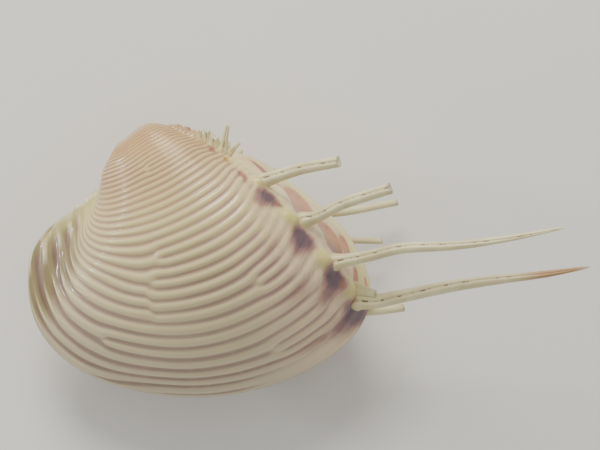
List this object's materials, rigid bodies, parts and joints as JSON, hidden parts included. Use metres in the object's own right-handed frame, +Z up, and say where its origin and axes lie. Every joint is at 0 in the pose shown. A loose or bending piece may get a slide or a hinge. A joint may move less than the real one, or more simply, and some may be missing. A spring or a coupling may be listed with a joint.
{
  "type": "venus clam shell",
  "caption": "Closed venus clam shell lying on one valve, with strong concentric ribs and a row of long and broken spines along its hind keel; a display or scatter piece",
  "frame": {"origin": "middle of the small worn flat under the right valve's dome, on which the shell lies", "axes": "+Z up, away from the table; +X towards the spiny hind end, along the longest extent; +Y towards the beaks"},
  "size_m": [0.0811, 0.04, 0.0292],
  "materials": {
    "left_valve": "dense shell, satin with a light gloss on the rib crests: cream ribs, pinkish tan grooves, violet stains by the spines",
    "right_valve": "dense shell, satin with a light gloss on the rib crests: cream ribs, pinkish tan grooves, violet stains by the spines",
    "ligament": "dried horny brown strip, dull"
  },
  "bodies": {
    "root": {"left_valve": "left_valve", "right_valve": "right_valve", "ligament": "ligament"}
  },
  "joints": []
}
